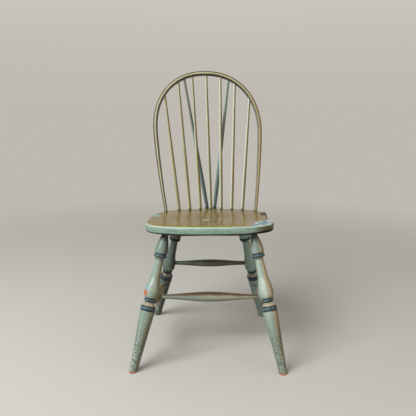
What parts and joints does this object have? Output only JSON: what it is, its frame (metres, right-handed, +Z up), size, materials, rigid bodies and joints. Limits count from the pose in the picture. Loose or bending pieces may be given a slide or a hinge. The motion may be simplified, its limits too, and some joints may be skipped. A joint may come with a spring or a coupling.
{
  "type": "bow-back wooden side chair",
  "caption": "Old painted wooden side chair: saddled seat with a rear tail, bent bow back with spindles and crossing brace spindles, splayed turned legs joined by turned stretchers.",
  "frame": {"origin": "centre of the chair's bounding box, on the floor", "axes": "+Z up from the floor to the bow's top; -Y towards the seat's front edge; +X towards the sitter's left side, which is the right side of the picture"},
  "size_m": [0.4924, 0.5482, 0.9481],
  "materials": {
    "leg_paint": "worn sage green gloss paint on turned wood, blue-green in the grooves",
    "seat_paint": "glossy aged sage green paint gone olive on a solid wooden seat",
    "bow_paint": "worn olive and cream paint on bent wood",
    "spindle_paint": "aged olive green gloss paint",
    "brace_paint": "grey blue-green paint",
    "stretcher_paint": "worn grey-green paint, brown where it is rubbed"
  },
  "bodies": {
    "root": {"seat": "seat_paint", "bow": "bow_paint", "leg_front_left": "leg_paint", "leg_front_right": "leg_paint", "leg_rear_left": "leg_paint", "leg_rear_right": "leg_paint", "side_stretcher_left": "stretcher_paint", "side_stretcher_right": "stretcher_paint", "medial_stretcher": "stretcher_paint", "rear_stretcher": "stretcher_paint", "spindle_1": "spindle_paint", "spindle_2": "spindle_paint", "spindle_3": "spindle_paint", "spindle_4": "spindle_paint", "spindle_5": "spindle_paint", "spindle_6": "spindle_paint", "spindle_7": "spindle_paint", "brace_spindle_left": "brace_paint", "brace_spindle_right": "brace_paint"}
  },
  "joints": []
}
